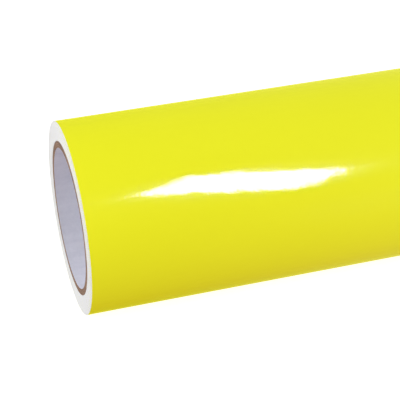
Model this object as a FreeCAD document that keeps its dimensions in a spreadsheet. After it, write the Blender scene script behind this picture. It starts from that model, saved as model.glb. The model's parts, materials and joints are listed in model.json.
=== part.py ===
"""A roll of self-adhesive sign vinyl on a spiral-wound cardboard core.

The roll lies along X with its bore axis on the X axis and the origin at the middle of the bore, so
-X and +X are its two ends, -Y is the front, +Y is the back and +Z is up. Angles round the roll are
in degrees from the top (+Z) over the back (+Y): 0 is the top, 90 the back, 180 the bottom.

The web is two layers, a paper release liner inside and a vinyl film with its adhesive outside. It
starts on the core under a strip of double-sided tape, runs down the back, under the roll, up the
front and over the top, and ends after a whole number of turns in a free tail at the same angle.
The spiral is the draughtsman's two-centre one: half turns about the bore axis alternate with half
turns about a centre half a pitch away, so every surface is a true cylinder and every join is
tangent. The last turn and the tail are separate solids only because the tail lifts from the roll
and its film peels off its liner, and rigid solids can't bend.
"""
import FreeCAD, Part  # noqa: E401  this order matters: Part first crashes
import math
import os

import Sketcher
from FreeCAD import Placement, Rotation, Vector

# Driving dimensions, in millimetres and degrees, except the two counts.
SIZES = {
    "bore_radius": 38.1,        # a 3 inch core
    "inner_ply": 0.40,          # grey-white lining paper
    "kraft_ply": 0.52,          # each brown board ply
    "kraft_plies": 5,
    "outer_ply": 0.45,          # smooth finishing ply
    "web_width": 610.0,         # a 24 inch web, and the core is cut flush with it
    "start_tape": 0.10,         # thickness of the tape that holds the web's start
    "start_tape_span": 34.0,    # degrees of the core that it covers, 25 mm
    "lay_gap": 0.01,            # clearance under the tape and under the first turn
    "liner": 0.12,              # release liner
    "film": 0.09,               # face film with its adhesive
    "layer_gap": 0.005,         # air between layers in the wound web
    "turns": 48,
    "seam_angle": 95.0,         # where the web starts and ends
    "tail_span": 55.0,          # the part of the last turn that lifts
    "peel_span": 41.0,          # the part of the tail whose film peels
    "tail_root_gap": 0.5,       # degrees kept open at the tail's hinge
    "peel_root_gap": 0.3,       # degrees kept open at the film's hinge
    "tail_clear": 0.05,         # the tail's liner stands this far off the turn below
    "peel_clear": 0.03,         # and the peeling film this far off its liner
    "tab_clear": 0.03,          # and the tape tabs this far off the film
    "tab_thick": 0.13,
    "tab_width": 19.0,
    "tab_half_span": 18.0,      # degrees each side of the tail's edge
    "tab_spacing": 220.0,
    "bend_span": 7.0,           # the most degrees that one face of a thin strip spans
}

TABS = {"tail_tape_left": -1, "tail_tape_middle": 0, "tail_tape_right": 1}

doc = FreeCAD.newDocument("vinyl_roll")
sheet = doc.addObject("Spreadsheet::Sheet", "Sizes")
for row, (alias, value) in enumerate(SIZES.items(), start=1):
    sheet.set(f"A{row}", alias)
    sheet.set(f"B{row}", str(value))
    sheet.setAlias(f"B{row}", alias)
doc.recompute()

# Expressions over the sheet that several pieces share.
CORE_RADIUS = (
    "(Sizes.bore_radius + Sizes.inner_ply + Sizes.kraft_plies * Sizes.kraft_ply + Sizes.outer_ply)"
)
WEB_RADIUS = f"({CORE_RADIUS} + Sizes.start_tape + 2 * Sizes.lay_gap)"
PITCH = "(Sizes.liner + Sizes.film + 2 * Sizes.layer_gap)"
LAST_HALF_RADIUS = f"({WEB_RADIUS} + (Sizes.turns - 0.5) * {PITCH})"
TAIL_RADIUS = f"({LAST_HALF_RADIUS} + Sizes.tail_clear)"
TAIL_FILM_RADIUS = f"({TAIL_RADIUS} + Sizes.liner + Sizes.layer_gap)"
PEEL_RADIUS = f"({TAIL_FILM_RADIUS} + Sizes.peel_clear)"
TAB_RADIUS = f"({PEEL_RADIUS} + Sizes.film + Sizes.tab_clear)"
TAIL_ANGLE = "(Sizes.seam_angle - Sizes.tail_span)"
PEEL_ANGLE = "(Sizes.seam_angle - Sizes.peel_span)"


def value_of(expression):
    """The number that an expression over the sheet has now."""
    return float(sheet.evalExpression(expression))


def origin_plane(body, role):
    """One of a body's own origin planes, by its role."""
    return next(f for f in body.Origin.OriginFeatures if f.Role == role)


def cross_section(body, name):
    """A sketch across the roll: its x is the roll's Y and its y is the roll's Z."""
    sketch = body.newObject("Sketcher::SketchObject", name)
    sketch.AttachmentSupport = [(origin_plane(body, "YZ_Plane"), "")]
    sketch.MapMode = "FlatFace"
    return sketch


def constrain(sketch, name, expression, *terms):
    """A dimension of the sketch, bound to an expression."""
    index = sketch.addConstraint(Sketcher.Constraint(*terms))
    sketch.renameConstraint(index, name)
    sketch.setExpression(f"Constraints.{name}", expression)


def pad_both_ways(body, sketch, width):
    """The sketch padded along the roll, half of the width each way."""
    pad = body.newObject("PartDesign::Pad", "Width")
    pad.Profile = sketch
    pad.SideType = "Symmetric"
    pad.setExpression("Length", width)
    body.Tip = pad


def ply(label, inner, thickness):
    """One ply of the core: a tube as long as the web is wide."""
    body = doc.addObject("PartDesign::Body", label)
    sketch = cross_section(body, "Ring")
    radii = (("inner", inner), ("outer", f"{inner} + {thickness}"))
    for index, (name, expression) in enumerate(radii):
        circle = Part.Circle(Vector(), Vector(0, 0, 1), value_of(expression))
        sketch.addGeometry(circle)
        sketch.addConstraint(Sketcher.Constraint("Coincident", index, 3, -1, 1))
        constrain(sketch, name, expression, "Radius", index, value_of(expression))
    pad_both_ways(body, sketch, "Sizes.web_width")
    return body


def curved_strip(label, inner, thickness, start, span, shifted=False, width="Sizes.web_width"):
    """A strip bent round the roll from an angle, over a span of angles. A shifted one is centred,
    as the web's last half turn is, half a pitch from the bore axis towards the seam. Thin sheet
    needs short faces round the bend, so the strip is one short bend, repeated to the full span."""
    body = doc.addObject("PartDesign::Body", label)
    sketch = cross_section(body, "Bend")
    bends = f"ceil({span} / Sizes.bend_span)"
    bend_end = f"({start} + {span} / {bends})"
    low, high = value_of(inner), value_of(f"{inner} + {thickness}")
    # the sketch's own angles run the other way, from the back towards the top
    first, last = (math.radians(90 - value_of(a)) for a in (bend_end, start))

    def arc(radius):
        return Part.ArcOfCircle(Part.Circle(Vector(), Vector(0, 0, 1), radius), first, last)

    def spoke(angle):
        direction = Vector(math.cos(angle), math.sin(angle), 0)
        return Part.LineSegment(direction * low, direction * high)

    sketch.addGeometry([arc(low), arc(high), spoke(first), spoke(last)])
    for line, arc_end in ((2, 1), (3, 2)):
        sketch.addConstraint(Sketcher.Constraint("Coincident", 0, arc_end, line, 1))
        sketch.addConstraint(Sketcher.Constraint("Coincident", 1, arc_end, line, 2))
    for curve in (0, 1):
        sketch.addConstraint(Sketcher.Constraint("Coincident", curve, 3, -1, 1))
    constrain(sketch, "inner", inner, "Radius", 0, low)
    constrain(sketch, "outer", f"{inner} + {thickness}", "Radius", 1, high)
    constrain(sketch, "bend_end", f"(90 - {bend_end}) * 1deg", "Angle", 2, first)
    constrain(sketch, "bend_start", f"(90 - {start}) * 1deg", "Angle", 3, last)
    pad_both_ways(body, sketch, width)
    repeat(body, bends, f"{span} / {bends} * 1deg")
    if shifted:
        body.setExpression("Placement.Base.y", f"{PITCH} / 2 * sin(Sizes.seam_angle * 1deg)")
        body.setExpression("Placement.Base.z", f"{PITCH} / 2 * cos(Sizes.seam_angle * 1deg)")
    return body


def repeat(body, count, step):
    """The body's feature repeated round the X axis, each copy a step further on."""
    pattern = body.newObject("PartDesign::PolarPattern", "Bends")
    pattern.Originals = [body.Tip]
    pattern.Axis = (origin_plane(body, "X_Axis"), [""])
    pattern.Mode = "Spacing"
    pattern.setExpression("Offset", step)
    pattern.setExpression("Occurrences", count)
    pattern.Reversed = True
    pattern.Refine = False
    body.Tip = pattern


def wound_layer(label, inner, thickness, first_turn, last_turn):
    """A layer of the web from one turn count to another, as one solid spiral strip."""
    pitch, half_width = value_of(PITCH), value_of("Sizes.web_width") / 2
    seam = math.radians(value_of("Sizes.seam_angle"))
    base, depth = value_of(inner), value_of(thickness)

    def place(half_turn, radius, turn):
        """A point at a turn count, on the arc of that half turn."""
        angle = seam + turn * 2 * math.pi
        shift = pitch / 2 if half_turn % 2 else 0.0
        y = shift * math.sin(seam) + radius * math.sin(angle)
        z = shift * math.cos(seam) + radius * math.cos(angle)
        return Vector(-half_width, y, z)

    def arcs(extra):
        """Edges and end points of the strip's inner face, or of its outer one."""
        found, turn = [], first_turn
        while turn < last_turn - 1e-9:
            half_turn = math.floor(turn * 2 + 1e-9)
            stop = min((half_turn + 1) / 2, last_turn)
            radius = base + extra + half_turn * pitch / 2
            ends = [place(half_turn, radius, t) for t in (turn, (turn + stop) / 2, stop)]
            found.append(ends)
            turn = stop
        return found

    inside, outside = arcs(0.0), arcs(depth)
    edges = [Part.Arc(*points).toShape() for points in inside + outside]
    edges.append(Part.LineSegment(inside[0][0], outside[0][0]).toShape())
    edges.append(Part.LineSegment(inside[-1][2], outside[-1][2]).toShape())
    outline = Part.Wire(Part.sortEdges(edges)[0])
    feature = doc.addObject("Part::Feature", label)
    feature.Shape = Part.Face(outline).extrude(Vector(2 * half_width, 0, 0))
    feature.Placement = Placement(Vector(), Rotation())
    return feature


def core():
    """The cardboard core, a tube of glued plies, from the bore out."""
    made = [ply("core_inner_ply", "Sizes.bore_radius", "Sizes.inner_ply")]
    radius = "Sizes.bore_radius + Sizes.inner_ply"
    for number in range(1, SIZES["kraft_plies"] + 1):
        made.append(ply(f"core_kraft_ply_{number}", radius, "Sizes.kraft_ply"))
        radius += " + Sizes.kraft_ply"
    return [*made, ply("core_outer_ply", radius, "Sizes.outer_ply")]


def wound_web():
    """The tape at the web's start, the wound turns, and the last turn as far as the tail."""
    film = f"{WEB_RADIUS} + Sizes.liner + Sizes.layer_gap"
    turns = SIZES["turns"]
    tail_start = turns - SIZES["tail_span"] / 360
    return [
        curved_strip(
            "start_tape",
            f"{CORE_RADIUS} + Sizes.lay_gap",
            "Sizes.start_tape",
            "Sizes.seam_angle",
            "Sizes.start_tape_span",
        ),
        wound_layer("release_liner", WEB_RADIUS, "Sizes.liner", 0, turns - 1),
        wound_layer("vinyl_film", film, "Sizes.film", 0, turns - 1),
        wound_layer("outer_turn_liner", WEB_RADIUS, "Sizes.liner", turns - 1, tail_start),
        wound_layer("outer_turn_film", film, "Sizes.film", turns - 1, tail_start),
    ]


def tail():
    """The free end of the web: its liner, the film that stays on it, and the film that peels."""
    tail_root = f"({TAIL_ANGLE} + Sizes.tail_root_gap)"
    peel_root = f"({PEEL_ANGLE} + Sizes.peel_root_gap)"
    tail_span = "(Sizes.tail_span - Sizes.tail_root_gap)"
    kept_span = f"({tail_span} - Sizes.peel_span)"
    peel_span = "(Sizes.peel_span - Sizes.peel_root_gap)"
    return [
        curved_strip("tail_liner", TAIL_RADIUS, "Sizes.liner", tail_root, tail_span, True),
        curved_strip("tail_film", TAIL_FILM_RADIUS, "Sizes.film", tail_root, kept_span, True),
        curved_strip("peel_flap_film", PEEL_RADIUS, "Sizes.film", peel_root, peel_span, True),
    ]


def tape_tabs():
    """Short strips of tape that hold the tail down, half on the tail and half on the roll."""
    start = "(Sizes.seam_angle - Sizes.tab_half_span)"
    span = "(2 * Sizes.tab_half_span)"
    made = []
    for label, place in TABS.items():
        tab = curved_strip(
            label, TAB_RADIUS, "Sizes.tab_thick", start, span, True, "Sizes.tab_width"
        )
        tab.setExpression("Placement.Base.x", f"{place} * Sizes.tab_spacing")
        made.append(tab)
    return made


def check(pieces):
    """Stops the build if an object failed or a piece isn't one valid solid."""
    doc.recompute()
    for item in doc.Objects:
        if {"Invalid", "Error"} & set(item.State):
            raise RuntimeError(f"{item.Label} failed: {item.State}")
    for piece in pieces:
        shape = piece.Shape
        if shape.isNull() or not shape.isValid() or len(shape.Solids) != 1 or shape.Volume <= 0:
            raise RuntimeError(f"{piece.Label} isn't one valid solid")


def write(pieces):
    """Each piece to its own file, named by its label."""
    os.makedirs("parts", exist_ok=True)
    for piece in pieces:
        piece.Shape.exportStep(f"parts/{piece.Label}.step")
        box = piece.Shape.BoundBox
        print(f"{piece.Label:18} {box.XLength:7.2f} {box.YLength:7.2f} {box.ZLength:7.2f}")


pieces = core() + wound_web() + tail() + tape_tabs()
check(pieces)
write(pieces)
print("roll radius at the top", round(value_of(f"{LAST_HALF_RADIUS} + {PITCH}"), 3))
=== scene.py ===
"""A roll of glossy yellow sign vinyl, lying on its side on a pale floor.

X runs along the roll and is the axis of its bore, -Y is the front, +Y the back and +Z is up. Angles
round the roll are in degrees from the top (0) over the back (90) to the bottom (180). The web of
vinyl and liner starts on the core at SEAM_ANGLE and ends there as a free tail, held by tape tabs.
"""
import json
import math

import bpy
from mathutils import Matrix, Vector


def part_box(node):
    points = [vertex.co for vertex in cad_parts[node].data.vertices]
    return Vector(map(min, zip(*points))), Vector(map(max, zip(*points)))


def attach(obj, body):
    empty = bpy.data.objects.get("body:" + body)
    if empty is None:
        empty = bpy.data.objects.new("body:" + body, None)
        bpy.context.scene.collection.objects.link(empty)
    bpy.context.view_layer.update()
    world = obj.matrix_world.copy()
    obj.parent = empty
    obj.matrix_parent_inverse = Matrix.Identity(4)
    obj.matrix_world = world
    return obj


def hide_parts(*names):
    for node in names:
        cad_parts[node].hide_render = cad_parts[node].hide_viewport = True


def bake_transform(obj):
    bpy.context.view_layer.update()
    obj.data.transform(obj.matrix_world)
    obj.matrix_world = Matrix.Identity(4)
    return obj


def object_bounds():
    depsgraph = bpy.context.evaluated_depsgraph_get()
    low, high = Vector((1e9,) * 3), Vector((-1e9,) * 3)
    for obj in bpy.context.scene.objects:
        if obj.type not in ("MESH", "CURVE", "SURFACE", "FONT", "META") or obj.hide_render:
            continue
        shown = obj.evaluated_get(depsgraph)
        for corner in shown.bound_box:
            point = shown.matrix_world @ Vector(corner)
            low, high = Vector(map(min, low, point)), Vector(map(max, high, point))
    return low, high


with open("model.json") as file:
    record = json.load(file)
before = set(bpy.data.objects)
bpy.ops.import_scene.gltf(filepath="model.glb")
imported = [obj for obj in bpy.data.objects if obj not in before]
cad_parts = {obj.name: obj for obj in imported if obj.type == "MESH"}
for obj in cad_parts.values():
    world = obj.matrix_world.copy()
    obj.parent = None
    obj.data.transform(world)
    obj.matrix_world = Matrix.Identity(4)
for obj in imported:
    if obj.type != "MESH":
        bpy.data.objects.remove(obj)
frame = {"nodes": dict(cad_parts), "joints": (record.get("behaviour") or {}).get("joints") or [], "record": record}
cad_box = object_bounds()

# ---------------------------------------------------------------------------------- dimensions
MM = 0.001
MOUNTS = {m["name"]: m for m in frame["record"]["mounts"]}
PIVOTS = {j["name"]: Vector(j["pos_m"]) for j in frame["joints"]}
BORE_RADIUS = MOUNTS["core_bore"]["dims"]["r_mm"] * MM
HALF_WIDTH = MOUNTS["core_bore"]["dims"]["length_mm"] * MM / 2

TURNS = 48                  # of the web round the core
LINER = 0.12 * MM           # thickness of the release liner
FILM = 0.09 * MM            # and of the vinyl with its adhesive
LAYER_GAP = 0.005 * MM
PITCH = LINER + FILM + 2 * LAYER_GAP
SEAM_ANGLE = 95.0           # where the web starts and ends
TAPE_THICK = 0.13 * MM
TAPE_WIDTH = 19 * MM
PLY_SEAM = 0.4 * MM         # the butt gap along each spirally wound ply
PLY_LEAD = 138 * MM         # how far the lining's seam travels in one turn
RIPPLE_HEIGHT = 0.06 * MM   # of the cross ripples in the film's gloss
PEEL_HEIGHT = 0.018 * MM    # and of its orange peel
SLACK_HEIGHT = 0.06 * MM    # of the slow ripples where the outer turn is slack
EDGE_WANDER = 0.07 * MM     # how far the turns' edges stray along the roll, in all
TAPE_LIFT = 0.04 * MM       # the gap under a tape tab
TAIL_ROOT = 41.0            # angles where the tail and the peeled film start, and the tape tabs
PEEL_ROOT = 54.2
TAPE_ROOT, TAPE_TIP = 77.0, 113.0
STEPS_PER_TURN = 72         # of the wound web's mesh
SEAM_STEP = 2.4             # radians from one ply's seam to the next
CORNER_ANGLE = 0.7          # radians, past which an edge is shaded sharp


def radii(node):
    """The smallest and largest distance of a node from the bore's axis."""
    far = [math.hypot(v.co.y, v.co.z) for v in frame["nodes"][node].data.vertices]
    return min(far), max(far)


WEB_RADIUS = radii("release_liner")[0]
FILM_RADIUS = WEB_RADIUS + LINER + LAYER_GAP


def turn_at(angle):
    """The web's count of turns at an angle on its last turn."""
    return TURNS - ((SEAM_ANGLE - angle) % 360) / 360


# -------------------------------------------------------------------------------------- helpers
def add(tree, kind, inputs=None, **settings):
    """Adds a node with its settings, and values or links for its inputs. Gives its first output,
    whose node has the others."""
    node = tree.nodes.new(kind)
    for name, value in settings.items():
        setattr(node, name, value)
    for socket, value in (inputs or {}).items():
        for source in value if isinstance(value, list) else [value]:
            if isinstance(source, bpy.types.NodeSocket):
                tree.links.new(source, node.inputs[socket])
            else:
                node.inputs[socket].default_value = source
    return node.outputs[0] if node.outputs else None


def linear(text):
    """An sRGB hex colour as the linear colour that a socket takes."""
    parts = [int(text[i : i + 2], 16) / 255 for i in (1, 3, 5)]
    return (*(c / 12.92 if c <= 0.04045 else ((c + 0.055) / 1.055) ** 2.4 for c in parts), 1.0)


def new_material(name):
    """A material with an empty tree, and its Principled shader."""
    material = bpy.data.materials.new(name)
    material.use_nodes = True
    tree = material.node_tree
    tree.nodes.clear()
    shader = add(tree, "ShaderNodeBsdfPrincipled").node
    add(tree, "ShaderNodeOutputMaterial", {"Surface": shader.outputs[0]})
    return material, tree, shader


def settle(shader, **values):
    """Sets the shader's plain values, with spaces in its sockets' names written as underscores."""
    for name, value in values.items():
        shader.inputs[name.replace("_", " ")].default_value = value


def linked(obj):
    """The object, in the scene."""
    bpy.context.scene.collection.objects.link(obj)
    return obj


# ------------------------------------------------------------------------------------ materials
def vinyl_gloss():
    """Calendered PVC film, rolled between polished steel cylinders: an even, saturated yellow with
    a mirror gloss, broken by the soft orange peel and the cross ripples of a film wound in a roll."""
    material, tree, shader = new_material("vinyl_gloss")
    place = add(tree, "ShaderNodeTexCoord").node.outputs["Object"]
    # clouds 55 mm across, too faint to see as spots
    cloud = add(tree, "ShaderNodeTexNoise", {"Vector": place, "Scale": 18.0, "Detail": 2.0})
    tone = add(
        tree,
        "ShaderNodeMix",
        {0: cloud, 6: linear("#F7F72A"), 7: linear("#F5F526")},
        data_type="RGBA",
    ).node.outputs[2]
    # ripples 9 mm long across the web and 4 mm apart round the roll, and orange peel at 1.3 mm
    ripple_place = add(
        tree, "ShaderNodeMapping", {"Vector": place, "Scale": (1 / 9, 1 / 4, 1 / 4)}
    )
    ripple = add(tree, "ShaderNodeTexNoise", {"Vector": ripple_place, "Scale": 1000.0, "Detail": 1.0})
    peel_place = add(
        tree, "ShaderNodeMapping", {"Vector": place, "Scale": (1 / 1.3, 1 / 1.6, 1 / 1.6)}
    )
    peel = add(tree, "ShaderNodeTexNoise", {"Vector": peel_place, "Scale": 1000.0, "Detail": 1.0})
    wavy = add(tree, "ShaderNodeBump", {"Height": ripple, "Distance": RIPPLE_HEIGHT, "Strength": 1.0})
    fine = add(
        tree,
        "ShaderNodeBump",
        {"Height": peel, "Distance": PEEL_HEIGHT, "Strength": 1.0, "Normal": wavy},
    )
    tree.links.new(tone, shader.inputs["Base Color"])
    for socket in ("Normal", "Coat Normal"):
        tree.links.new(fine, shader.inputs[socket])
    settle(shader, Roughness=0.12, Specular_IOR_Level=0.2, Coat_Weight=1.0, Coat_Roughness=0.006)
    settle(shader, Coat_IOR=1.55)
    return material


def slit_edge():
    """The film's slit edge: PVC whitens where a blade stresses it, so it is pale, and matt."""
    material, tree, shader = new_material("slit_edge")
    place = add(tree, "ShaderNodeTexCoord").node.outputs["Object"]
    # stress marks 0.4 mm across, coarser than the real ones so that they show
    grain = add(tree, "ShaderNodeTexNoise", {"Vector": place, "Scale": 2500.0, "Detail": 2.0})
    tone = add(
        tree,
        "ShaderNodeMix",
        {0: grain, 6: linear("#EBEBE9"), 7: linear("#F3F3F2")},
        data_type="RGBA",
    ).node.outputs[2]
    tree.links.new(tone, shader.inputs["Base Color"])
    settle(shader, Roughness=0.6, IOR=1.5)
    return material


def film_back():
    """The film's underside with its acrylic adhesive: the film's own yellow under a clear, tacky
    coat that is softly uneven from the coating head."""
    material, tree, shader = new_material("film_back")
    place = add(tree, "ShaderNodeTexCoord").node.outputs["Object"]
    # coating marks 4 mm across
    cloud = add(tree, "ShaderNodeTexNoise", {"Vector": place, "Scale": 260.0, "Detail": 3.0})
    tone = add(
        tree,
        "ShaderNodeMix",
        {0: cloud, 6: linear("#E9E45E"), 7: linear("#F1EE78")},
        data_type="RGBA",
    ).node.outputs[2]
    bump = add(tree, "ShaderNodeBump", {"Height": cloud, "Distance": 0.01 * MM})
    tree.links.new(tone, shader.inputs["Base Color"])
    tree.links.new(bump, shader.inputs["Normal"])
    settle(shader, Roughness=0.32, IOR=1.47)
    return material


def liner_paper():
    """Silicone-coated white kraft, supercalendered: bright white and smooth, with the soft cloud of
    its pulp and a low sheen."""
    material, tree, shader = new_material("liner_paper")
    place = add(tree, "ShaderNodeTexCoord").node.outputs["Object"]
    # flocks of pulp 1.4 mm across
    pulp = add(tree, "ShaderNodeTexNoise", {"Vector": place, "Scale": 700.0, "Detail": 5.0})
    tone = add(
        tree,
        "ShaderNodeMix",
        {0: pulp, 6: linear("#F1F1F2"), 7: linear("#F9F9FA")},
        data_type="RGBA",
    ).node.outputs[2]
    bump = add(tree, "ShaderNodeBump", {"Height": pulp, "Distance": 0.006 * MM})
    tree.links.new(tone, shader.inputs["Base Color"])
    tree.links.new(bump, shader.inputs["Normal"])
    settle(shader, Roughness=0.45, IOR=1.5)
    return material


def kraft_board(name, dark, light, seed):
    """Recycled kraft board, wound wet with glue and sawn off: brown, matt and fibrous, with dark and
    pale flecks."""
    material, tree, shader = new_material(name)
    place = add(tree, "ShaderNodeTexCoord").node.outputs["Object"]
    shifted = add(tree, "ShaderNodeMapping", {"Vector": place, "Location": (seed, seed, seed)})
    # fibres 1.1 mm apart, in clouds 8 mm across
    fibre = add(
        tree, "ShaderNodeTexNoise", {"Vector": shifted, "Scale": 900.0, "Detail": 6.0, "Roughness": 0.7}
    )
    cloud = add(tree, "ShaderNodeTexNoise", {"Vector": shifted, "Scale": 120.0, "Detail": 3.0})
    both = add(tree, "ShaderNodeMath", {0: fibre, 1: cloud}, operation="ADD")
    spread = add(
        tree, "ShaderNodeMapRange", {"Value": both, "From Min": 0.75, "From Max": 1.25}
    )
    tone = add(
        tree, "ShaderNodeMix", {0: spread, 6: linear(dark), 7: linear(light)}, data_type="RGBA"
    ).node.outputs[2]
    bump = add(tree, "ShaderNodeBump", {"Height": fibre, "Distance": 0.12 * MM})
    tree.links.new(tone, shader.inputs["Base Color"])
    tree.links.new(bump, shader.inputs["Normal"])
    settle(shader, Roughness=0.9, IOR=1.45)
    return material


def lining_paper():
    """The core's lining ply: grey-white recycled paper, smoothed by the winding mandrel, with fine
    pulp and faint rub marks that the mandrel leaves along the bore."""
    material, tree, shader = new_material("lining_paper")
    place = add(tree, "ShaderNodeTexCoord").node.outputs["Object"]
    # flocks of pulp 2.4 mm across, and rub marks 4 mm wide and 60 mm long
    pulp = add(
        tree, "ShaderNodeTexNoise", {"Vector": place, "Scale": 420.0, "Detail": 6.0, "Roughness": 0.65}
    )
    rubbed = add(tree, "ShaderNodeMapping", {"Vector": place, "Scale": (0.06, 1.0, 1.0)})
    rub = add(tree, "ShaderNodeTexNoise", {"Vector": rubbed, "Scale": 260.0, "Detail": 3.0})
    both = add(tree, "ShaderNodeMath", {0: pulp, 1: rub}, operation="ADD")
    spread = add(
        tree, "ShaderNodeMapRange", {"Value": both, "From Min": 0.7, "From Max": 1.3}
    )
    tone = add(
        tree,
        "ShaderNodeMix",
        {0: spread, 6: linear("#E6E6F2"), 7: linear("#F1F1FB")},
        data_type="RGBA",
    ).node.outputs[2]
    bump = add(tree, "ShaderNodeBump", {"Height": pulp, "Distance": 0.03 * MM})
    tree.links.new(tone, shader.inputs["Base Color"])
    tree.links.new(bump, shader.inputs["Normal"])
    settle(shader, Roughness=0.62, IOR=1.48)
    return material


def masking_tape():
    """Creped paper tape, crinkled by a doctor blade and saturated with rubber: warm cream, a little
    translucent, with fine ridges across it."""
    material, tree, shader = new_material("masking_tape")
    place = add(tree, "ShaderNodeTexCoord").node.outputs["Object"]
    # ridges 0.6 mm apart down the tape and several millimetres long across it
    creped = add(tree, "ShaderNodeMapping", {"Vector": place, "Scale": (0.16, 1.0, 1.0)})
    ridge = add(
        tree, "ShaderNodeTexNoise", {"Vector": creped, "Scale": 1600.0, "Detail": 3.0, "Roughness": 0.6}
    )
    tone = add(
        tree,
        "ShaderNodeMix",
        {0: ridge, 6: linear("#DFC894"), 7: linear("#F1E2BC")},
        data_type="RGBA",
    ).node.outputs[2]
    bump = add(tree, "ShaderNodeBump", {"Height": ridge, "Distance": 0.12 * MM})
    tree.links.new(tone, shader.inputs["Base Color"])
    tree.links.new(bump, shader.inputs["Normal"])
    settle(shader, Roughness=0.55, IOR=1.5)
    return material


def tissue_tape():
    """Double-sided tissue tape: a yellowish clear adhesive in long-fibred tissue."""
    material, tree, shader = new_material("tissue_tape")
    place = add(tree, "ShaderNodeTexCoord").node.outputs["Object"]
    # tissue fibres 2 mm apart
    fibre = add(tree, "ShaderNodeTexNoise", {"Vector": place, "Scale": 500.0, "Detail": 5.0})
    tone = add(
        tree,
        "ShaderNodeMix",
        {0: fibre, 6: linear("#DAD6BE"), 7: linear("#ECE9D8")},
        data_type="RGBA",
    ).node.outputs[2]
    tree.links.new(tone, shader.inputs["Base Color"])
    settle(shader, Roughness=0.35, IOR=1.47)
    return material


# ------------------------------------------------------------------------------ geometry nodes
def shape_tree(name, inputs):
    """A geometry tree with named inputs: a socket type and a first value for each."""
    tree = bpy.data.node_groups.new(name, "GeometryNodeTree")
    for label, (kind, value) in inputs.items():
        socket = tree.interface.new_socket(label, in_out="INPUT", socket_type=f"NodeSocket{kind}")
        if value is not None:
            socket.default_value = value
    tree.interface.new_socket("Geometry", in_out="OUTPUT", socket_type="NodeSocketGeometry")
    given = add(tree, "NodeGroupInput").node.outputs
    return tree, given


def spoke(tree, angle):
    """The direction from the bore's axis at an angle round it."""
    return add(
        tree,
        "ShaderNodeCombineXYZ",
        {
            "Y": add(tree, "ShaderNodeMath", {0: angle}, operation="SINE"),
            "Z": add(tree, "ShaderNodeMath", {0: angle}, operation="COSINE"),
        },
    )


def thick_sheet(tree, grid, place, outward, given):
    """Moves a grid to its place with its faces outwards and gives it its thickness and its flat
    edges, then shades and paints it: the outside, the edges and the back are three materials."""
    kept = add(tree, "GeometryNodeCaptureAttribute", {"Geometry": grid})
    kept.node.capture_items.new("VECTOR", "Outward")
    tree.links.new(outward, kept.node.inputs["Outward"])
    sheet = add(tree, "GeometryNodeSetPosition", {"Geometry": kept, "Position": place})
    raised = add(
        tree,
        "GeometryNodeExtrudeMesh",
        {"Mesh": sheet, "Offset": kept.node.outputs["Outward"],
         "Offset Scale": given["Thickness"], "Individual": False},
        mode="FACES",
    )
    top, side = raised.node.outputs["Top"], raised.node.outputs["Side"]
    back = add(tree, "GeometryNodeFlipFaces", {"Mesh": sheet})
    joined = add(tree, "GeometryNodeJoinGeometry", {"Geometry": [raised, back]})
    closed = add(tree, "GeometryNodeMergeByDistance", {"Geometry": joined, "Distance": 1e-6})
    smooth = add(tree, "GeometryNodeSetShadeSmooth", {"Geometry": closed, "Shade Smooth": True})
    bend = add(tree, "GeometryNodeInputMeshEdgeAngle")
    corner = add(tree, "FunctionNodeCompare", {0: bend, 1: CORNER_ANGLE}, operation="GREATER_THAN")
    creased = add(
        tree,
        "GeometryNodeSetShadeSmooth",
        {"Geometry": smooth, "Selection": corner, "Shade Smooth": False},
        domain="EDGE",
    )
    whole = add(tree, "GeometryNodeRealizeInstances", {"Geometry": creased})
    front = add(tree, "FunctionNodeBooleanMath", {0: top, 1: side}, operation="OR")
    behind = add(tree, "FunctionNodeBooleanMath", {0: front}, operation="NOT")
    painted = add(tree, "GeometryNodeSetMaterial", {"Geometry": whole, "Material": given["Outside"]})
    painted = add(
        tree,
        "GeometryNodeSetMaterial",
        {"Geometry": painted, "Selection": side, "Material": given["Edges"]},
    )
    painted = add(
        tree,
        "GeometryNodeSetMaterial",
        {"Geometry": painted, "Selection": behind, "Material": given["Back"]},
    )
    add(tree, "NodeGroupOutput", {"Geometry": painted})


FINISH_INPUTS = {
    "Thickness": ("Float", 0.1 * MM),
    "Outside": ("Material", None),
    "Edges": ("Material", None),
    "Back": ("Material", None),
}


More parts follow.
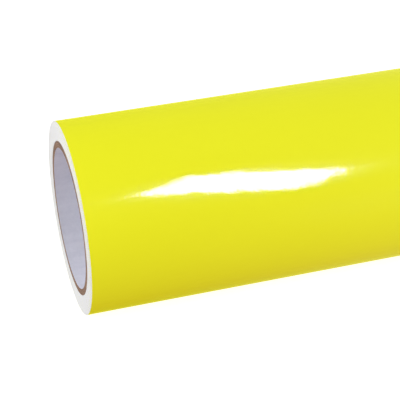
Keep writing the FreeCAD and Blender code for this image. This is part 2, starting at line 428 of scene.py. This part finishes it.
def web_tree():
    """A layer of the wound web between two counts of turns. Even half turns are centred on the
    bore's axis and odd ones half a pitch towards the seam, so that each join is tangent."""
    tree, given = shape_tree(
        "wound_web",
        {
            "First Turn": ("Float", 0.0),
            "Last Turn": ("Float", 1.0),
            "Radius": ("Float", WEB_RADIUS),
            "Pitch": ("Float", PITCH),
            "Seam": ("Float", math.radians(SEAM_ANGLE)),
            "Half Width": ("Float", HALF_WIDTH),
            "Steps": ("Int", 100),
            "Rows": ("Int", 2),
            "Ripple": ("Float", 0.0),
            "Wander": ("Float", 0.0),
            "Seed": ("Float", 0.0),
            **FINISH_INPUTS,
        },
    )
    grid = add(
        tree,
        "GeometryNodeMeshGrid",
        {"Size X": 1.0, "Size Y": 1.0, "Vertices X": given["Rows"], "Vertices Y": given["Steps"]},
    )
    spot = add(tree, "ShaderNodeSeparateXYZ", {0: add(tree, "GeometryNodeInputPosition")}).node
    along = add(tree, "ShaderNodeMath", {0: spot.outputs["Y"], 1: 0.5}, operation="ADD")
    turn = add(
        tree,
        "ShaderNodeMapRange",
        {"Value": along, "To Min": given["First Turn"], "To Max": given["Last Turn"]},
        clamp=False,
    )
    doubled = add(tree, "ShaderNodeMath", {0: turn, 1: 2.0}, operation="MULTIPLY")
    half_turn = add(tree, "ShaderNodeMath", {0: doubled}, operation="FLOOR")
    odd = add(tree, "ShaderNodeMath", {0: half_turn, 1: 2.0}, operation="MODULO")
    half_pitch = add(tree, "ShaderNodeMath", {0: given["Pitch"], 1: 0.5}, operation="MULTIPLY")
    shift = add(tree, "ShaderNodeMath", {0: odd, 1: half_pitch}, operation="MULTIPLY")
    radius = add(
        tree,
        "ShaderNodeMath",
        {0: half_turn, 1: half_pitch, 2: given["Radius"]},
        operation="MULTIPLY_ADD",
    )
    angle = add(
        tree, "ShaderNodeMath", {0: turn, 1: math.tau, 2: given["Seam"]}, operation="MULTIPLY_ADD"
    )
    outward = spoke(tree, angle)
    to_seam = spoke(tree, given["Seam"])
    # each turn wanders a little along the roll, as the winder lets it
    sway = add(
        tree, "ShaderNodeTexNoise", {"W": turn, "Scale": 0.4, "Detail": 2.0}, noise_dimensions="1D"
    )
    swayed = add(tree, "ShaderNodeMath", {0: sway, 1: 0.5}, operation="SUBTRACT")
    drift = add(tree, "ShaderNodeMath", {0: swayed, 1: given["Wander"]}, operation="MULTIPLY")
    width = add(tree, "ShaderNodeMath", {0: given["Half Width"], 1: 2.0}, operation="MULTIPLY")
    across = add(
        tree, "ShaderNodeMath", {0: spot.outputs["X"], 1: width, 2: drift}, operation="MULTIPLY_ADD"
    )
    place = add(tree, "ShaderNodeCombineXYZ", {"X": across})
    for direction, distance in ((to_seam, shift), (outward, radius)):
        part = add(
            tree, "ShaderNodeVectorMath", {0: direction, "Scale": distance}, operation="SCALE"
        )
        place = add(tree, "ShaderNodeVectorMath", {0: place, 1: part}, operation="ADD")
    # slow ripples, 45 mm long across the web and 14 mm apart round the roll
    stretched = add(
        tree, "ShaderNodeVectorMath", {0: place, 1: (1 / 45, 1 / 14, 1 / 14)}, operation="MULTIPLY"
    )
    wave = add(
        tree,
        "ShaderNodeTexNoise",
        {"Vector": stretched, "W": given["Seed"], "Scale": 1000.0, "Detail": 1.0},
        noise_dimensions="4D",
    )
    centred = add(tree, "ShaderNodeMath", {0: wave, 1: 0.25}, operation="SUBTRACT")
    height = add(tree, "ShaderNodeMath", {0: centred, 1: given["Ripple"]}, operation="MULTIPLY")
    lift = add(tree, "ShaderNodeVectorMath", {0: outward, "Scale": height}, operation="SCALE")
    place = add(tree, "ShaderNodeVectorMath", {0: place, 1: lift}, operation="ADD")
    thick_sheet(tree, grid, place, outward, given)
    return tree


def build(name, tree, **sizes):
    """The mesh that a tree makes for these sizes, as a plain object."""
    maker = linked(bpy.data.objects.new(f"{name}_maker", bpy.data.meshes.new(name)))
    modifier = maker.modifiers.new("shape", "NODES")
    modifier.node_group = tree
    for item in tree.interface.items_tree:
        if item.in_out == "INPUT" and item.name.replace(" ", "_") in sizes:
            modifier[item.identifier] = sizes[item.name.replace(" ", "_")]
    graph = bpy.context.evaluated_depsgraph_get()
    mesh = bpy.data.meshes.new_from_object(maker.evaluated_get(graph))
    bpy.data.objects.remove(maker)
    mesh.name = name
    return linked(bpy.data.objects.new(name, mesh))


def ply_tree():
    """A ply of the core: a strip of paper rolled to a tube with a narrow butt seam, which runs
    straight or in a spiral. Its cut ends are a little uneven."""
    tree, given = shape_tree(
        "wound_ply",
        {
            "Radius": ("Float", BORE_RADIUS),
            "Half Width": ("Float", HALF_WIDTH),
            "Gap": ("Float", PLY_SEAM),
            "Spiral Turns": ("Float", 0.0),
            "Seam Angle": ("Float", 0.0),
            "Columns": ("Int", 72),
            "Rows": ("Int", 2),
            "Unevenness": ("Float", 0.1 * MM),
            "Seed": ("Float", 0.0),
            **FINISH_INPUTS,
        },
    )
    grid = add(
        tree,
        "GeometryNodeMeshGrid",
        {"Size X": 1.0, "Size Y": 1.0, "Vertices X": given["Rows"], "Vertices Y": given["Columns"]},
    )
    spot = add(tree, "ShaderNodeSeparateXYZ", {0: add(tree, "GeometryNodeInputPosition")}).node
    gap_angle = add(
        tree, "ShaderNodeMath", {0: given["Gap"], 1: given["Radius"]}, operation="DIVIDE"
    )
    swept = add(tree, "ShaderNodeMath", {0: math.tau, 1: gap_angle}, operation="SUBTRACT")
    around = add(
        tree, "ShaderNodeMath", {0: spot.outputs["Y"], 1: swept, 2: given["Seam Angle"]},
        operation="MULTIPLY_ADD",
    )
    spiral = add(
        tree, "ShaderNodeMath", {0: given["Spiral Turns"], 1: math.tau}, operation="MULTIPLY"
    )
    angle = add(
        tree, "ShaderNodeMath", {0: spot.outputs["X"], 1: spiral, 2: around},
        operation="MULTIPLY_ADD",
    )
    outward = spoke(tree, angle)
    saw = add(
        tree,
        "ShaderNodeTexNoise",
        {"Vector": outward, "W": given["Seed"], "Scale": 9.0, "Detail": 4.0},
        noise_dimensions="4D",
    )
    cut = add(tree, "ShaderNodeMath", {0: saw, 1: given["Unevenness"]}, operation="MULTIPLY")
    half = add(tree, "ShaderNodeMath", {0: given["Half Width"], 1: cut}, operation="SUBTRACT")
    doubled = add(tree, "ShaderNodeMath", {0: spot.outputs["X"], 1: 2.0}, operation="MULTIPLY")
    place = add(
        tree,
        "ShaderNodeCombineXYZ",
        {"X": add(tree, "ShaderNodeMath", {0: doubled, 1: half}, operation="MULTIPLY")},
    )
    part = add(
        tree, "ShaderNodeVectorMath", {0: outward, "Scale": given["Radius"]}, operation="SCALE"
    )
    place = add(tree, "ShaderNodeVectorMath", {0: place, 1: part}, operation="ADD")
    thick_sheet(tree, grid, place, outward, given)
    return tree


def tape_tree():
    """A tab of tape: it lies on the web's outer turn, steps down over the web's end and goes on
    along the turn below. Its sides are cut and its ends are torn."""
    tree, given = shape_tree(
        "tape_tab",
        {
            "Centre": ("Float", 0.0),
            "Width": ("Float", TAPE_WIDTH),
            "First Angle": ("Float", math.radians(TAPE_ROOT)),
            "Last Angle": ("Float", math.radians(TAPE_TIP)),
            "Seam": ("Float", math.radians(SEAM_ANGLE)),
            "Radius": ("Float", FILM_RADIUS + TURNS * PITCH + FILM),
            "Step": ("Float", PITCH),
            "Step Length": ("Float", math.radians(3.0)),
            "Tear": ("Float", 3.5 * MM),
            "Crepe": ("Float", 0.05 * MM),
            "Seed": ("Float", 0.0),
            "Columns": ("Int", 60),
            "Rows": ("Int", 130),
            **FINISH_INPUTS,
        },
    )
    grid = add(
        tree,
        "GeometryNodeMeshGrid",
        {"Size X": 1.0, "Size Y": 1.0, "Vertices X": given["Columns"], "Vertices Y": given["Rows"]},
    )
    spot = add(tree, "ShaderNodeSeparateXYZ", {0: add(tree, "GeometryNodeInputPosition")}).node
    across = add(
        tree,
        "ShaderNodeMath",
        {0: spot.outputs["X"], 1: given["Width"], 2: given["Centre"]},
        operation="MULTIPLY_ADD",
    )
    # the torn ends: fine teeth on a slow wander, different at the two ends
    end = add(tree, "ShaderNodeMath", {0: spot.outputs["Y"]}, operation="SIGN")
    ragged = add(
        tree,
        "ShaderNodeTexNoise",
        {"Vector": add(tree, "ShaderNodeCombineXYZ", {"X": across, "Y": end}),
         "W": given["Seed"], "Scale": 420.0, "Detail": 4.0, "Roughness": 0.7},
        noise_dimensions="4D",
    )
    uneven = add(tree, "ShaderNodeMath", {0: ragged, 1: given["Tear"]}, operation="MULTIPLY")
    trim = add(tree, "ShaderNodeMath", {0: uneven, 1: given["Radius"]}, operation="DIVIDE")
    span = add(
        tree, "ShaderNodeMath", {0: given["Last Angle"], 1: given["First Angle"]},
        operation="SUBTRACT",
    )
    trimmed = add(tree, "ShaderNodeMath", {0: trim, 1: -2.0, 2: span}, operation="MULTIPLY_ADD")
    middle = add(
        tree, "ShaderNodeMath", {0: given["Last Angle"], 1: given["First Angle"]}, operation="ADD"
    )
    middle = add(tree, "ShaderNodeMath", {0: middle, 1: 0.5}, operation="MULTIPLY")
    angle = add(
        tree, "ShaderNodeMath", {0: spot.outputs["Y"], 1: trimmed, 2: middle},
        operation="MULTIPLY_ADD",
    )
    stepped = add(
        tree, "ShaderNodeMath", {0: given["Seam"], 1: given["Step Length"]}, operation="ADD"
    )
    drop = add(
        tree,
        "ShaderNodeMapRange",
        {"Value": angle, "From Min": given["Seam"], "From Max": stepped,
         "To Min": 0.0, "To Max": given["Step"]},
        interpolation_type="SMOOTHSTEP",
    )
    lower = add(tree, "ShaderNodeMath", {0: given["Radius"], 1: drop}, operation="SUBTRACT")
    outward = spoke(tree, angle)
    # ridges across the tape, under half a millimetre apart along it
    along = add(tree, "ShaderNodeMath", {0: angle, 1: given["Radius"]}, operation="MULTIPLY")
    flat = add(
        tree,
        "ShaderNodeCombineXYZ",
        {"X": add(tree, "ShaderNodeMath", {0: across, 1: 0.3}, operation="MULTIPLY"), "Y": along},
    )
    ridge = add(
        tree,
        "ShaderNodeTexNoise",
        {"Vector": flat, "W": given["Seed"], "Scale": 1300.0, "Detail": 1.0},
        noise_dimensions="4D",
    )
    radius = add(
        tree, "ShaderNodeMath", {0: ridge, 1: given["Crepe"], 2: lower}, operation="MULTIPLY_ADD"
    )
    place = add(tree, "ShaderNodeCombineXYZ", {"X": across})
    part = add(tree, "ShaderNodeVectorMath", {0: outward, "Scale": radius}, operation="SCALE")
    place = add(tree, "ShaderNodeVectorMath", {0: place, 1: part}, operation="ADD")
    thick_sheet(tree, grid, place, outward, given)
    return tree


def make_web(vinyl, edge, back, paper):
    """The wound web in two pieces, its outer turn, and the tail with the film that peels off it."""
    tree = web_tree()
    film = {"Radius": FILM_RADIUS, "Thickness": FILM, "Outside": vinyl, "Edges": edge, "Back": back}
    liner = {
        "Radius": WEB_RADIUS, "Thickness": LINER, "Outside": paper, "Edges": paper, "Back": paper
    }
    inner_end = turn_at(TAIL_ROOT) - 1
    for name, sizes, node in (
        ("wound_vinyl", film, "vinyl_film"), ("wound_liner", liner, "release_liner")
    ):
        piece = build(
            name, tree, First_Turn=0.0, Last_Turn=inner_end, Wander=EDGE_WANDER,
            Steps=int(inner_end * STEPS_PER_TURN), **sizes,
        )
        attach(piece, "roll")
        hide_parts(node)
    # the outer turn's pieces meet just behind the tail's root, and the tail's where the film peels
    root, peel = turn_at(TAIL_ROOT - 8), turn_at(PEEL_ROOT - 4)
    film["Ripple"] = liner["Ripple"] = SLACK_HEIGHT
    for name, sizes, node, first, last, steps, rows, joint in (
        ("outer_turn_vinyl", film, "outer_turn_film", inner_end, root, 240, 180, None),
        ("outer_turn_paper", liner, "outer_turn_liner", inner_end, root, 200, 80, None),
        ("tail_vinyl", film, "tail_film", root, peel, 26, 180, ("roll", "tail")),
        ("tail_paper", liner, "tail_liner", root, TURNS, 80, 120, ("roll", "tail")),
        ("flap_vinyl", film, "peel_flap_film", peel, TURNS, 60, 180, ("tail", "film_flap")),
    ):
        piece = build(name, tree, First_Turn=first, Last_Turn=last, Steps=steps, Rows=rows, **sizes)
        if joint:
            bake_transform(piece)
        else:
            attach(piece, "roll")
        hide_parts(node)


def make_core(lining, boards):
    """The core's plies, each in its own radii: a spiral lining, kraft board and a finishing ply."""
    tree = ply_tree()
    plies = [n for n in frame["nodes"] if n.startswith("core_")]
    for number, node in enumerate(sorted(plies, key=lambda n: radii(n)[0])):
        inner, outer = radii(node)
        board = boards[number % len(boards)]
        spiral = {"Spiral_Turns": 2 * HALF_WIDTH / PLY_LEAD, "Columns": 80, "Rows": 380}
        piece = build(
            node.replace("core", "wound"), tree, Radius=inner, Thickness=outer - inner,
            Outside=board, Edges=board, Back=lining if number == 0 else board,
            Seam_Angle=math.pi + number * SEAM_STEP, Seed=float(number), **(spiral if number == 0 else {}),
        )
        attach(piece, "roll")
        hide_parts(node)


def make_tapes(tape):
    """The three tabs that hold the tail down."""
    tree = tape_tree()
    for number, side in enumerate(("left", "middle", "right")):
        near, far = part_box(f"tail_tape_{side}")
        piece = build(
            f"tape_tab_{side}", tree, Centre=(near[0] + far[0]) / 2, Thickness=TAPE_THICK,
            Radius=FILM_RADIUS + TURNS * PITCH + FILM + TAPE_LIFT, Seed=number * 3.7,
            Outside=tape, Edges=tape, Back=tape,
        )
        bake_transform(piece)
        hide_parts(f"tail_tape_{side}")


# -------------------------------------------------------------------------------- light and view
NEAR_END = (-HALF_WIDTH, 0, 0)
SQUARE_METRE = [(0.5, 0.5), (-0.5, 0.5), (-0.5, -0.5), (0.5, -0.5)]
STRIP = [(0.06, 0.35), (-0.06, 0.35), (-0.06, -0.35), (0.06, -0.35)]
SMALL_SQUARE = [(0.1, 0.1), (-0.1, 0.1), (-0.1, -0.1), (0.1, -0.1)]
KEY_OUTLINE = [(0.104, 0.135), (-0.033, 0.356), (-0.121, -0.085), (-0.013, -0.314)]
# Each panel's centre, what it faces, its outline and strength, and whether the gloss mirrors it.
# The key is a metre off, with a sheared outline, and shows in the film as one long highlight. A
# wide panel lights the near end and the bore, a strip the back, and three soft fills the film.
PANELS = (
    ("key_panel", (0.0529, -0.7675, 0.6622), (-0.222, -0.0412, 0.0322), KEY_OUTLINE, 19.0, True),
    ("end_panel", (-1.345, -0.13, 0.77), NEAR_END, SQUARE_METRE, 1.3, True),
    ("back_panel", (-0.6, 0.8, 0.8), (0, 0, 0), STRIP, 4.0, True),
    ("low_fill", (-0.455, -0.19, 0.04), NEAR_END, SMALL_SQUARE, 0.55, False),
    ("high_fill", (-0.455, -0.15, 0.17), NEAR_END, SMALL_SQUARE, 1.7, False),
    ("far_fill", (0.05, -0.45, -0.05), (-HALF_WIDTH / 2, 0, 0), SMALL_SQUARE, 2.1, False),
)
# The surroundings' brightness: a base, with more towards the back and the floor, towards both
# ends of the roll, and above the near end, whose light reaches the bottom of the bore.
BASE_LIGHT, END_LIGHT, NEAR_LIGHT = 0.46, 0.66, 2.1
BACK_AND_FLOOR_LIGHT = (0.0, 0.42, -0.835)
WARM_TINT = (1.0, 0.62, 0.56, 1)        # of the light from below the front
CLEAR_TINT = (1.0, 1.0, 1.03, 1)        # from above and behind
END_TINT = (0.98, 1.0, 1.03, 1)         # and from both ends
# What the gloss mirrors: yellow, lower and higher up and each from the middle to the far end, and
# grey beyond the near end, so that the white paper there stays white.
MIRRORED_LOW = ((0.62, 0.53, 0.01, 1), (0.86, 0.74, 0.09, 1))
MIRRORED_HIGH = ((0.88, 0.88, 0.05, 1), (0.90, 0.90, 0.13, 1))
MIRRORED_GREY = (0.8, 0.8, 0.8, 1)
BACKDROP_STRENGTH = 1.1
FLOOR_SIZE, FLOOR_GLOW = 30, 0.85
# The camera: its direction in degrees, its place from the near end's centre, and its lens
AZIMUTH, ELEVATION = -17.0, 34.22
ASIDE, ABOVE, AWAY = 0.06958, 0.0098, 0.6996
LENS_MM, SENSOR_MM = 118.3, 36


def panel(name, centre, target, outline, strength, mirrored):
    """A flat light with any outline, facing a target. The camera doesn't see it, and one that
    isn't mirrored casts no shadow either."""
    centre = Vector(centre)
    normal = (Vector(target) - centre).normalized()
    side = Vector((0, 0, 1)).cross(normal).normalized()
    rise = normal.cross(side)
    mesh = bpy.data.meshes.new(name)
    mesh.from_pydata([centre + side * x + rise * y for x, y in outline], [], [(0, 1, 2, 3)])
    light = linked(bpy.data.objects.new(name, mesh))
    cloth, tree, shader = new_material(f"{name}_cloth")
    settle(
        shader, Base_Color=(0, 0, 0, 1), Emission_Color=(1, 1, 1, 1), Emission_Strength=strength
    )
    mesh.materials.append(cloth)
    light.visible_camera = False
    light.visible_glossy = light.visible_shadow = mirrored


def white_floor():
    """A plain white floor that glows a little. It is only seen: it throws no light on the roll."""
    bpy.ops.mesh.primitive_plane_add(size=FLOOR_SIZE, location=(0, 0, cad_box[0].z))
    floor = bpy.context.object
    floor.name = "floor"
    material, tree, shader = new_material("white_floor")
    settle(shader, Base_Color=(0.5, 0.5, 0.5, 1), Roughness=1.0, Specular_IOR_Level=0.0)
    settle(shader, Emission_Color=(1, 1, 1, 1), Emission_Strength=FLOOR_GLOW)
    floor.data.materials.append(material)
    floor.visible_diffuse = False
    floor.visible_glossy = False


def surroundings():
    """Soft light from all round: one sky lights the roll, one is what its gloss mirrors, and a plain
    white one is seen behind it."""
    world = bpy.data.worlds.new("studio")
    bpy.context.scene.world = world
    world.use_nodes = True
    tree = world.node_tree
    tree.nodes.clear()
    path = add(tree, "ShaderNodeLightPath").node.outputs
    facing = add(tree, "ShaderNodeTexCoord").node.outputs["Generated"]
    along, depth, rise = add(tree, "ShaderNodeSeparateXYZ", {0: facing}).node.outputs
    tilt = add(tree, "ShaderNodeMath", {0: depth, 1: 0.7, 2: rise}, operation="MULTIPLY_ADD")

    height = add(tree, "ShaderNodeMapRange", {"Value": tilt, "From Min": -0.9, "From Max": 0.0})
    right = add(tree, "ShaderNodeMapRange", {"Value": along, "From Min": 0.18, "From Max": 0.42})
    low, high = (
        add(tree, "ShaderNodeMix", {0: right, 6: near, 7: far}, data_type="RGBA").node.outputs[2]
        for near, far in (MIRRORED_LOW, MIRRORED_HIGH)
    )
    card = add(
        tree, "ShaderNodeMix", {0: height, 6: low, 7: high}, data_type="RGBA"
    ).node.outputs[2]
    past_end = add(tree, "ShaderNodeMapRange", {"Value": along, "From Min": -0.1, "From Max": 0.1})
    card = add(
        tree, "ShaderNodeMix", {0: past_end, 6: MIRRORED_GREY, 7: card}, data_type="RGBA"
    ).node.outputs[2]

    lean = add(
        tree, "ShaderNodeVectorMath", {0: facing, 1: BACK_AND_FLOOR_LIGHT}, operation="DOT_PRODUCT"
    ).node.outputs["Value"]
    endwise = add(tree, "ShaderNodeMath", {0: along}, operation="ABSOLUTE")
    nearness = add(tree, "ShaderNodeMath", {0: along, 1: -NEAR_LIGHT}, operation="MULTIPLY")
    nearness = add(tree, "ShaderNodeMath", {0: nearness, 1: 0.0}, operation="MAXIMUM")
    amount = add(
        tree, "ShaderNodeMath", {0: endwise, 1: END_LIGHT, 2: lean}, operation="MULTIPLY_ADD"
    )
    amount = add(tree, "ShaderNodeMath", {0: nearness, 1: rise, 2: amount}, operation="MULTIPLY_ADD")
    amount = add(tree, "ShaderNodeMath", {0: amount, 1: BASE_LIGHT}, operation="ADD")
    amount = add(tree, "ShaderNodeMath", {0: amount, 1: 0.0}, operation="MAXIMUM")
    level = add(tree, "ShaderNodeMapRange", {"Value": tilt, "From Min": -0.9, "From Max": 0.3})
    tint = add(
        tree, "ShaderNodeMix", {0: level, 6: WARM_TINT, 7: CLEAR_TINT}, data_type="RGBA"
    ).node.outputs[2]
    plain = add(tree, "ShaderNodeMapRange", {"Value": endwise, "From Min": 0.3, "From Max": 0.6})
    tint = add(
        tree, "ShaderNodeMix", {0: plain, 6: tint, 7: END_TINT}, data_type="RGBA"
    ).node.outputs[2]

    soft = add(tree, "ShaderNodeBackground", {"Color": tint, "Strength": amount})
    mirrored = add(tree, "ShaderNodeBackground", {"Color": card})
    backdrop = add(
        tree, "ShaderNodeBackground", {"Color": (1, 1, 1, 1), "Strength": BACKDROP_STRENGTH}
    )
    lit = add(tree, "ShaderNodeMixShader", {0: path["Is Glossy Ray"], 1: soft, 2: mirrored})
    seen = add(tree, "ShaderNodeMixShader", {0: path["Is Camera Ray"], 1: lit, 2: backdrop})
    add(tree, "ShaderNodeOutputWorld", {"Surface": seen})


def view():
    """The camera, in front of the near end, above it and a little to its left."""
    azimuth, elevation = math.radians(AZIMUTH), math.radians(ELEVATION)
    back = Vector(
        (
            math.sin(azimuth) * math.cos(elevation),
            -math.cos(azimuth) * math.cos(elevation),
            math.sin(elevation),
        )
    )
    right = Vector((math.cos(azimuth), math.sin(azimuth), 0))
    up = back.cross(right)
    place = Vector(NEAR_END) + ASIDE * right + ABOVE * up + AWAY * back
    camera_data = bpy.data.cameras.new("camera")
    camera_data.lens, camera_data.sensor_width = LENS_MM, SENSOR_MM
    camera_data.clip_start = 0.01
    camera = linked(bpy.data.objects.new("camera", camera_data))
    camera.matrix_world = Matrix.Translation(place) @ Matrix((right, up, back)).transposed().to_4x4()
    bpy.context.scene.camera = camera
    bpy.context.scene.view_settings.view_transform = "Standard"


make_web(vinyl_gloss(), slit_edge(), film_back(), liner_paper())
boards = [
    kraft_board("kraft_board", "#70513E", "#A68269", 0.0),
    kraft_board("grey_board", "#6A5242", "#9A7E69", 4.0),
]
make_core(lining_paper(), boards)
make_tapes(masking_tape())
start = frame["nodes"]["start_tape"].data.materials
start.clear()
start.append(tissue_tape())
white_floor()
surroundings()
for light in PANELS:
    panel(*light)
view()
